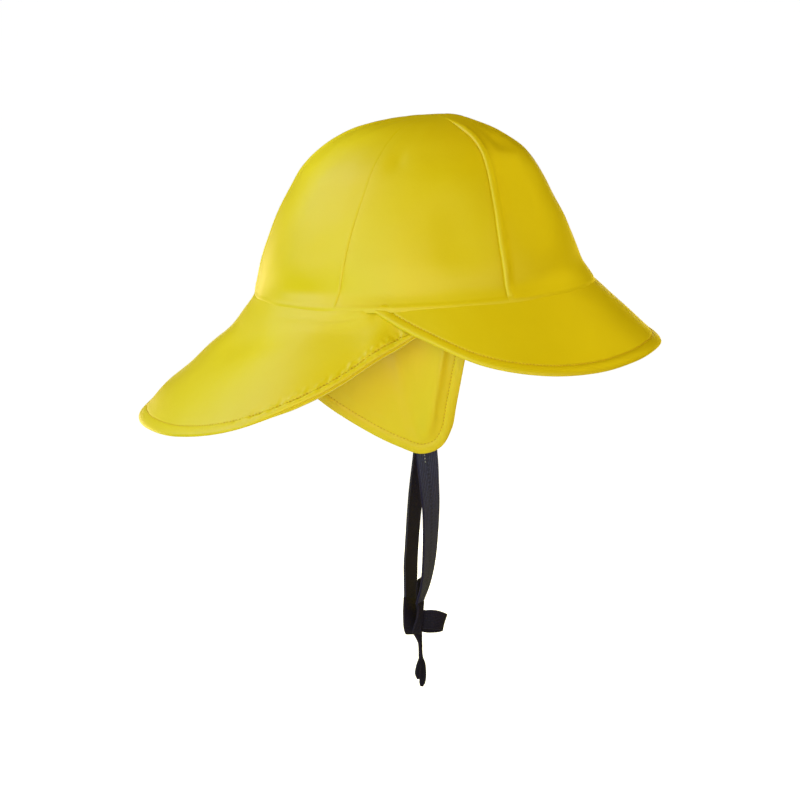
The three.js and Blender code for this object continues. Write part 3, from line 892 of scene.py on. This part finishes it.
def brim_body(inwards, reach):
    """1 on the body of a brim, 0 at its rim and at the crown."""
    return smooth((inwards - BODY_START) / BODY_FADE) * smooth((reach - inwards) / CROWN_FADE)


def part_way(values, length, place):
    """The three values of a run at a length along it."""
    return np.array([np.interp(place, length, values[:, k]) for k in range(3)])


def stitches(name, line, normals, material):
    """A row of short sewn stitches along a line, in one mesh."""
    one = loop_faces(len(STITCH_RINGS), STITCH_SIDES)
    points = []
    faces = []
    length = run_length(line)
    count = int(length[-1] / STITCH["pitch"])
    for i in range(count):
        middle = (i + 0.5) * length[-1] / count
        spot = part_way(line, length, middle)
        up = unit(part_way(normals, length, middle))
        forward = unit(part_way(line, length, middle + STITCH["ahead"]) - spot)
        sideways = np.cross(up, forward)
        base = len(points)
        for share, width, sink in STITCH_RINGS:
            rise = STITCH["rise"] + sink * STITCH["radius"]
            centre = spot + forward * share * STITCH["length"] + up * rise
            for k in range(STITCH_SIDES):
                turn = 2 * math.pi * k / STITCH_SIDES
                spread = sideways * math.cos(turn) + up * math.sin(turn)
                points.append(centre + spread * STITCH["radius"] * width)
        faces += [tuple(base + corner for corner in face) for face in one]
    piece = make_object(name, points, faces, material)
    return piece


def sewn_rim(node, surface, line, inwards, height, outward, side=1):
    """Stitches along a line that keeps its distance from the rim."""
    point, normal = on_surface(surface, line, inwards + 0 * line, outward)
    track = tilted((point + normal * height) * side)
    return stitches(f"{node}_stitching", track, tilted(normal * side), THREAD)


def peak():
    across = np.linspace(-PEAK_END, PEAK_END, PEAK_COLUMNS)
    rise, size, seed = PEAK_UNEVEN

    def surface(degrees, inwards):
        place = np.abs(degrees) / BRIM_STEP
        reach = spline(PEAK["reach"], place)
        return brim_point(degrees, PEAK, place, reach - inwards, 0 * degrees)

    def relief(degrees, inwards, reach):
        share = 1 - inwards / np.maximum(reach, 1)
        soft = bumps(PEAK_FOLDS, FOLD_KEYS, np.abs(degrees), share)
        inner = brim_body(inwards, reach)
        swept = fillet(reach - inwards) * smooth((np.abs(degrees) - FILLET_START) / FILLET_GROWTH)
        ends = smooth((np.abs(degrees) - PEAK_END + END_SPAN) / END_SPAN)
        ends = ends * smooth((inwards - reach + END_DEPTH) / END_FADE)
        return swept - soft * inner + rise * inner * waves(degrees, inwards, size, seed) - END_SINK * ends

    reach = spline(PEAK["reach"], np.abs(across) / BRIM_STEP)
    hem = even_hem(PEAK_HEM, len(across))
    flatter = (1 - FRONT_ROLL_EASE * np.exp(-(across / FRONT_ROLL_REACH) ** 2))[:, None]
    hem = np.stack([hem[..., 0], np.where(hem[..., 1] > 0, hem[..., 1] * flatter, hem[..., 1])], -1)
    points, faces, inside = loft_rim(across, surface, reach, hem, BODY_ROWS, relief, -1, PEAK_NARROWING)
    cloth_piece("peak", points, faces, inside)
    line = np.linspace(-PEAK_END + PEAK_SEWN["end"], PEAK_END - PEAK_SEWN["end"], PEAK_SEWN["points"])
    sewn_rim("peak", surface, line, PEAK_SEWN["inwards"], PEAK_SEWN["height"], -1)


def neck_flap():
    across = np.linspace(NECK_START, 360 - NECK_START, NECK_COLUMNS)
    rise, size, seed = NECK_UNEVEN
    depth, pucker_size, pucker_seed = PUCKER

    def fold(degrees):
        return np.minimum(degrees, 360 - degrees)

    def surface(degrees, inwards):
        from_front = fold(degrees)
        place = (from_front - NECK_FIRST) / BRIM_STEP
        reach = spline(NECK["reach"], place)
        share = 1 - inwards / reach
        inset = neck_inset(from_front, reach - inwards) + bumps(NECK_FOLDS, FOLD_KEYS, from_front, share)
        return brim_point(degrees, NECK, place, reach - inwards, inset)

    def relief(degrees, inwards, reach):
        from_front = fold(degrees)
        even = rise * brim_body(inwards, reach) * waves(degrees, inwards, size, seed)
        sewn = np.exp(-((inwards - PUCKER_LINE) / PUCKER_HALF) ** 2)
        gathered = smooth((from_front - GATHER_START) / GATHER_GROWTH)
        gathered = gathered * (1 - smooth((from_front - GATHER_END) / GATHER_FALL))
        crimp = waves(degrees * PUCKER_TURN, inwards * PUCKER_IN, pucker_size, pucker_seed)
        root = fillet(reach - inwards) + flap_root(from_front, reach - inwards)
        return root + even + depth * sewn * gathered * crimp

    def facing(degrees):
        return smooth((FACING_START - fold(degrees)) / FACING_GROWTH)

    reach = spline(NECK["reach"], (fold(across) - NECK_FIRST) / BRIM_STEP)
    rolled = facing(across)[:, None, None]
    hem = even_hem(NECK_HEM, len(across)) * (1 - rolled) + even_hem(NECK_FACING, len(across)) * rolled
    points, faces, inside = loft_rim(across, surface, reach, hem, NECK_BODY_ROWS, relief, -1)
    cloth_piece("neck_flap", points, faces, inside)
    start = NECK_START + NECK_SEWN["end"]
    line = np.linspace(start, 360 - start, NECK_SEWN["points"])
    inwards = NECK_SEWN["inwards"] - FACING_SEWN_OUT * facing(line)
    sewn_rim("neck_flap", surface, line, inwards, NECK_SEWN["height"], -1)


# Ear flaps

def flap_outline():
    """The ear flap's free edge, from the back of its top down round the corner and up its front edge."""
    low = np.stack([FLAP["x"], FLAP["z"]], -1)
    top_front = flap_top(FLAP["angle"][-1:])[0, [0, 2]] + (FLAP_FRONT_EASE, 0)
    front = [low[-1] + (top_front - low[-1]) * share for share in FRONT_SHARES]
    return smooth_path(np.concatenate([low, front]), OUTLINE_STEPS)


def flap_top(angle):
    """The ear flap's top edge, inside the neck flap and the peak."""
    radians = np.radians(angle)
    inset = BRIM_TUCK + (CLOTH + GAP) * 2
    inset = inset - (CLOTH + GAP) * smooth((angle - FLAP_RISE_START) / FLAP_RISE)
    point = opening_point(radians) - opening_normal(radians) * inset[..., None]
    point[..., 2] = FLAP_TOP
    return point


def flap_point(x, z):
    """A point of the ear flap's outer face at a place in side view."""
    angles = np.linspace(FLAP["angle"][0], FLAP["angle"][-1], FLAP_TOP_POINTS)
    tops = flap_top(angles)
    rows = np.interp(-angles, -FLAP["angle"], np.arange(len(FLAP["x"])))
    low_x = spline(FLAP["x"], rows)
    low_z = spline(FLAP["z"], rows)
    slant = np.interp(x, low_x, (tops[:, 0] - low_x) / -low_z)
    top_x = x - slant * z
    top_y = np.interp(top_x, tops[:, 0], tops[:, 1])
    low = np.interp(top_x, tops[:, 0], low_z)
    share = clamp01((z - FLAP_TOP) / (low - FLAP_TOP))
    belly = FLAP_BELLY * np.sin(math.pi * share) * np.minimum(1, -low / FLAP_BELLY_DROP)
    return np.stack([x, top_y + FLAP_LEAN * z + belly, z], -1)


def ear_flap(node, mirror):
    outline = flap_outline()
    length = run_length(outline)
    ahead = unit(np.gradient(outline, axis=0))
    square = np.stack([-ahead[:, 1], ahead[:, 0]], -1)
    across = np.linspace(0, length[-1], FLAP_COLUMNS)
    rise, size, seed = FLAP_UNEVEN

    def along_edge(values, place):
        return np.stack([np.interp(place, length, values[:, i]) for i in range(2)], -1)

    def top(place):
        share = clamp01(place / length[-1])
        return flap_top(FLAP["angle"][0] + (FLAP_TOP_LAST - FLAP["angle"][0]) * share)[..., [0, 2]]

    def band(place):
        return along_edge(outline, place) + along_edge(square, place) * FLAP_BAND

    def surface(place, inwards):
        near = np.minimum(inwards, FLAP_BAND)[..., None]
        spot = along_edge(outline, place) + along_edge(square, place) * near
        line = top(place) - band(place)
        far = np.maximum(inwards - FLAP_BAND, 0) / np.linalg.norm(line, axis=-1)
        spot = spot + line * far[..., None]
        return flap_point(spot[..., 0], spot[..., 1])

    def relief(place, inwards, reach):
        at = surface(place, inwards)
        inner = smooth((inwards - FLAP_BODY_START) / BODY_FADE)
        x, z = at[..., 0], at[..., 2]
        soft = 0
        for i in range(len(FLAP_FOLDS["depth"])):
            off = (x - FLAP_FOLDS["x"][i] - FLAP_FOLDS["slant"][i] * (z - FOLD_Z)) / FLAP_FOLDS["half"][i]
            soft = soft + FLAP_FOLDS["depth"][i] * np.exp(-off * off)
        return inner * (rise * waves(x, z, size, seed + mirror) - soft)

    reach = np.linalg.norm(top(across) - band(across), axis=-1) + FLAP_BAND
    hem = even_hem(FLAP_HEM, len(across))
    points, faces, inside = loft_rim(across, surface, reach, hem, BODY_ROWS, relief, 1)
    side = (1, -1, 1) if mirror else (1, 1, 1)
    piece = cloth_piece(node, points * side, faces, inside)
    line = np.linspace(FLAP_SEWN["end"], length[-1] - FLAP_SEWN["end"], FLAP_SEWN["points"])
    sewn = sewn_rim(node, surface, line, FLAP_SEWN["inwards"], FLAP_SEWN["height"], 1, side)


# Chin strap

def ribbon(centre, wide, thick, widths, thickness):
    """Points, faces and weave coordinates of flat webbing along a run, with rounded edges."""
    section = []
    for edge in (1, -1):
        for k in range(EDGE_SIDES + 1):
            turn = -edge * math.pi / 2 + math.pi * k / EDGE_SIDES
            section.append((0.5 * edge, math.cos(turn) * 0.5, math.sin(turn) * 0.5))
        section += [(flat, 0, 0.5 * edge) for flat in FLAT_PLACES * edge]
    count = len(section)
    length = run_length(centre)
    points = []
    uv = []
    for i in range(len(centre)):
        for across, round_out, up in section:
            offset = across * (widths[i] - thickness) + round_out * thickness
            spot = centre[i] + wide[i] * offset + thick[i] * up * thickness
            points.append(spot)
            uv.append((across * STRAP_WIDTH * MM, length[i] * MM))
    return points, loop_faces(len(centre), count), uv


def squared(centre, wide):
    """A run's centre line, with its width axis and its thickness axis square to it."""
    along = unit(np.gradient(centre, axis=0))
    wide = unit(wide - along * np.sum(wide * along, -1, keepdims=True))
    return centre, wide, np.cross(along, wide)


def strand(name, rows, outer):
    """A strand of the chin strap, its outer face to the right of the run or, if outer is -1, to the left."""
    place = np.linspace(0, len(rows["x"]) - 1, STRAND_POINTS)
    turn = np.radians(spline(rows["turn"], place))
    centre = np.stack([spline(rows[k], place) for k in "xyz"], -1)
    centre, wide, thick = squared(centre, np.stack([np.cos(turn), np.sin(turn), 0 * turn], -1))
    widths = spline(rows["width"], place) * STRAP_WIDTH
    points, faces, uv = ribbon(centre, wide, thick, widths, STRAP_THICKNESS)
    stations = len(points) // len(centre)
    half = stations // 2
    sides = [(i, face[0] % stations < half) for i, face in enumerate(faces) if len(face) == 4]
    # The inner faces take the darker copy of the webbing: painted shade
    inner = [i for i, first_half in sides if first_half != (outer > 0)]
    look = {"uv": uv, "inside": ELASTIC_INNER_SHADED, "inside_faces": inner}
    piece = make_object(f"webbing_{name}", points, faces, ELASTIC, **look)
    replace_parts(piece, name)
    sewn = (centre[:, 2] < TACK_TOP) & (centre[:, 2] > TACK_END)
    track = centre[sewn] + wide[sewn] * TACK_OFFSET + thick[sewn] * outer * STRAP_THICKNESS / 2
    stitches(f"{name}_tacking", track, thick[sewn] * outer, TACK_THREAD)


def joined_ribbons(name, runs, node):
    """Several runs of webbing as one piece."""
    points, faces, uv = [], [], []
    for run in runs:
        more_points, more_faces, more_uv = ribbon(*run)
        base = len(points)
        points += more_points
        uv += more_uv
        faces += [tuple(base + i for i in face) for face in more_faces]
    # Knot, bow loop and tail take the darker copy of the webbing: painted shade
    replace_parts(make_object(name, points, faces, ELASTIC_KNOT_SHADED, uv=uv), node)


def placed_run(rows, steps, thickness):
    """A run whose rows give the centre from the knot's own, the width axis and the width in mm."""
    values = np.array(rows, float)
    place = np.linspace(0, len(values) - 1, steps)
    value = np.stack([spline(values[:, i], place) for i in range(7)], -1)
    return *squared(value[:, :3] + KNOT_CENTRE, value[:, 3:6]), value[:, 6], thickness


def knot():
    """The half bow's knot.

    The far strand folds up behind it, the near one crosses it, and a slack turn stands up.
    """
    far_band = placed_run([
        (-2.2, 4, 10.4, 0.55, 0.83, 0, 11.4), (-2.3, 2, 5.5, 0.65, 0.75, 0, 10.4),
        (-2.4, -0.6, 0, 0.8, 0.6, 0, 8.8), (-2.4, -2, -4.5, 0.95, 0.3, 0, 7),
        (-2.2, -1.2, -7.4, 1, 0.1, 0, 5.6), (-2, 1, -8, 1, 0, 0, 5), (-1.8, 2.8, -6, 1, 0, 0, 6),
        (-1.6, 3.6, -1, 1, 0, 0, 7), (-1.2, 3.8, 4, 1, -0.1, 0, 6.5),
    ], 90, KNOT_THICKNESS)
    near_band = placed_run([
        (3.1, -4.6, 10.6, 0.7, 0.7, 0, 6.4), (3.3, -5, 6.5, 0.7, 0.7, 0.1, 4.8),
        (3, -4.9, 2, 0.75, 0.5, 0.1, 4.6), (2, -4.3, -2.5, 0.85, 0.2, 0.1, 4.6),
        (1.2, -3.2, -6, 0.95, 0, 0, 4.8), (1.3, -1, -7.8, 1, 0, 0, 4.8), (1.8, 1.4, -7, 1, 0, 0, 5.6),
        (2.2, 2.8, -3, 1, 0, 0, 6), (2.4, 3.2, 2, 1, 0, 0, 6),
    ], 90, KNOT_THICKNESS)
    cinch = placed_run([
        (4.6, -3.6, 1, 0.1, 0, 1, 9.2), (5.2, -1.8, 0.6, 0.1, 0, 1, 9.6), (5, 1.2, 0, 0.05, 0, 1, 9.4),
        (3, 3.9, 0, 0, 0, 1, 9), (-1, 4.9, 0.4, 0, 0, 1, 8.6), (-4, 3.4, 1, 0, 0, 1, 8),
    ], 60, KNOT_THICKNESS)
    slack_turn = placed_run([
        (2.5, 2.4, 5, 1, 0.1, 0, 3.4), (2.7, 2.6, 12, 1, 0.05, 0, 3.4), (3, 2.5, 18, 1, 0, 0, 3.2),
        (3.6, 1.4, 21.8, 0.8, 0.4, 0.1, 2.6), (3.1, -0.4, 22.4, 0.2, 1, 0, 2.4),
        (1.9, -1.2, 20.8, 0, 1, 0, 2.4), (1.5, -1.4, 14.5, 0, 1, 0, 2.6), (1.8, -1.6, 8.5, 0, 1, 0, 2.6),
        (2.2, -1.6, 4, 0.1, 1, 0, 2.6),
    ], 80, TURN_THICKNESS)
    joined_ribbons("webbing_strap_knot", [far_band, near_band, cinch, slack_turn], "strap_knot")


def bow_loop():
    """The bow's one loop: out of the knot, over at its far end, and back a little lower."""
    run = placed_run([
        (3.4, -2.2, -0.6, -0.1, 0, 1, 9.2), (5.2, -3, 0, 0, 0, 1, 10), (8, -3.8, 0.5, 0.06, 0, 1, 10.8),
        (11.5, -3.8, 0.3, 0.14, 0, 1, 10.8), (14.8, -2.6, -0.7, 0.24, 0, 1, 10),
        (16.2, -0.2, -1.6, 0.3, 0, 1, 9.4), (15, 2.2, -2.4, 0.28, 0, 1, 10),
        (11.5, 3.4, -3.1, 0.14, 0, 1, 10.8), (8, 2.8, -3.2, 0.05, 0, 1, 10.6), (5.6, 1.2, -3, 0, 0, 1, 9.4),
        (3.6, 0.2, -2.6, 0, 0, 1, 8.6),
    ], 110, STRAP_THICKNESS)
    joined_ribbons("webbing_bow_loop", [run], "strap_bow_loop")


def tail():
    """The free end: rolled narrow under the knot, then folded double at its tip."""
    stem = placed_run([
        (1.9, -0.4, -7.6, 1, 0.3, 0, 5.2), (2.6, -0.4, -10, 1, 0.4, 0, 4),
        (3.3, -0.3, -13.6, 0.8, 0.7, 0, 2.7), (3.5, 0, -18, 0.5, 0.9, 0, 2.6),
        (3.7, 0, -21.5, 0.8, 0.6, 0, 2.8), (4.5, -0.2, -25.5, 1, 0.3, 0, 3.7),
        (4.8, -0.4, -31, 1, 0.1, 0, 3.8), (4.5, -0.5, -35.2, 1, 0, 0, 3.5), (4, -0.5, -37.6, 1, 0, 0, 1.9),
    ], 100, STEM_THICKNESS)
    lobe = placed_run([
        (3.4, -0.6, -22, 0.9, 0.3, 0, 2), (2.5, -1.4, -26, 1, 0.2, 0, 3), (2, -1.8, -30, 1, 0.1, 0, 3.3),
        (2.4, -1.6, -33.2, 1, 0, 0, 1.9),
    ], 50, LOBE_THICKNESS)
    joined_ribbons("webbing_strap_tail", [stem, lobe], "strap_tail")


# Studio

def add_camera():
    data = bpy.data.cameras.new("camera")
    data.sensor_width = SENSOR
    data.lens = SENSOR * VIEW_DISTANCE / (MM_PER_PIXEL * MM * FRAME_PIXELS)
    data.clip_end = VIEW_END
    camera = bpy.data.objects.new("camera", data)
    azimuth = math.radians(VIEW_AZIMUTH)
    elevation = math.radians(VIEW_ELEVATION)
    level = math.cos(elevation)
    back = Vector((math.sin(azimuth) * level, -math.cos(azimuth) * level, math.sin(elevation)))
    camera.location = Vector(VIEW_AIM) + back * VIEW_DISTANCE
    camera.rotation_euler = back.to_track_quat("Z", "Y").to_euler()
    bpy.context.collection.objects.link(camera)
    bpy.context.scene.camera = camera


def soft_box(name, azimuth, distance, height, power, colour):
    """A square soft light at an azimuth from the camera's side, aimed at the hat."""
    data = bpy.data.lights.new(name, "AREA")
    data.shape = "SQUARE"
    data.size = LIGHT_SIZE
    data.energy = power
    data.color = colour
    light = bpy.data.objects.new(name, data)
    turn = math.radians(azimuth)
    light.location = (math.sin(turn) * distance, -math.cos(turn) * distance, height)
    light.rotation_euler = (light.location - Vector(LIGHT_AIM)).to_track_quat("Z", "Y").to_euler()
    light.visible_camera = False
    bpy.context.collection.objects.link(light)


def studio():
    scene = bpy.context.scene
    scene.view_settings.view_transform = "Standard"
    world = bpy.data.worlds.new("studio")
    world.use_nodes = True
    tree = world.node_tree
    ambient = tree.nodes["Background"]
    feed(tree, ambient, {"Color": (*AMBIENT_COLOUR, 1), "Strength": AMBIENT})
    seen = add_node(tree, "Background", 0, {"Color": WHITE})
    by_camera = add_node(tree, "LightPath", "Is Camera Ray", {})
    mixed = add_node(tree, "MixShader", 0, {"Fac": by_camera, 1: ambient.outputs[0], 2: seen})
    feed(tree, tree.nodes["World Output"], {"Surface": mixed})
    scene.world = world
    mesh = bpy.data.meshes.new("floor")
    half = FLOOR_HALF
    corners = [(x * half, y * half, FLOOR_Z) for x, y in ((-1, -1), (1, -1), (1, 1), (-1, 1))]
    mesh.from_pydata(corners, [], [(0, 1, 2, 3)])
    floor = bpy.data.objects.new("floor", mesh)
    material, tree, shader = new_material("floor_pale")
    by_camera = add_node(tree, "LightPath", "Is Camera Ray", {})
    feed(tree, shader, {
        "Base Color": (FLOOR_GREY, FLOOR_GREY, FLOOR_GREY, 1),
        "Roughness": FLOOR_ROUGHNESS,
        "Specular IOR Level": 0,
        "Emission Color": WHITE,
        "Emission Strength": map_value(tree, by_camera, FLOOR_GLOW, 1),
    })
    mesh.materials.append(material)
    bpy.context.collection.objects.link(floor)
    for row in LIGHTS:
        soft_box(*row)


add_camera()
for side, mirrored in (("left", False), ("right", True)):
    crown_panel(f"crown_panel_front_{side}", "centre", "front", SEAM_THIN, SEAM_LIP, mirrored)
    crown_panel(f"crown_panel_side_{side}", "front", "back", SEAM_TUCK, SEAM_SUNK, mirrored)
    crown_panel(f"crown_panel_back_{side}", "back", "rear", SEAM_FINE, SEAM_REAR, mirrored)
    ear_flap(f"ear_flap_{side}", mirrored)
peak()
neck_flap()
strand("chin_strap_right", RIGHT_STRAND, 1)
strand("chin_strap_left", LEFT_STRAND, -1)
knot()
bow_loop()
tail()
studio()
